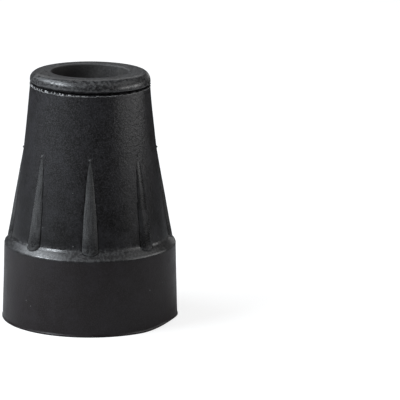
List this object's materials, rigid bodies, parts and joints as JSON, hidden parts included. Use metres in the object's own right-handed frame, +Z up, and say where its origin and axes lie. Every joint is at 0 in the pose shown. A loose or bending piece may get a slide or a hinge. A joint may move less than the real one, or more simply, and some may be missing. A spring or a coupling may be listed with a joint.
{
  "type": "cane tip",
  "caption": "Black rubber foot for a cane or crutch: a tapered, ribbed cone with a rolled lip and a blind bore that grips the shaft, over a wide foot with a ring tread.",
  "frame": {"origin": "centre of the tread on the ground, on the bore's axis", "axes": "+Z up along the bore, out of its mouth; -Y through one of the ribs, which faces the viewer"},
  "size_m": [0.0422, 0.0422, 0.0595],
  "materials": {
    "rubber": "satin black moulded rubber with a fine grain, a thin dusty bloom and paler worn edges"
  },
  "bodies": {
    "root": {"rubber_tip": "rubber"}
  },
  "joints": []
}
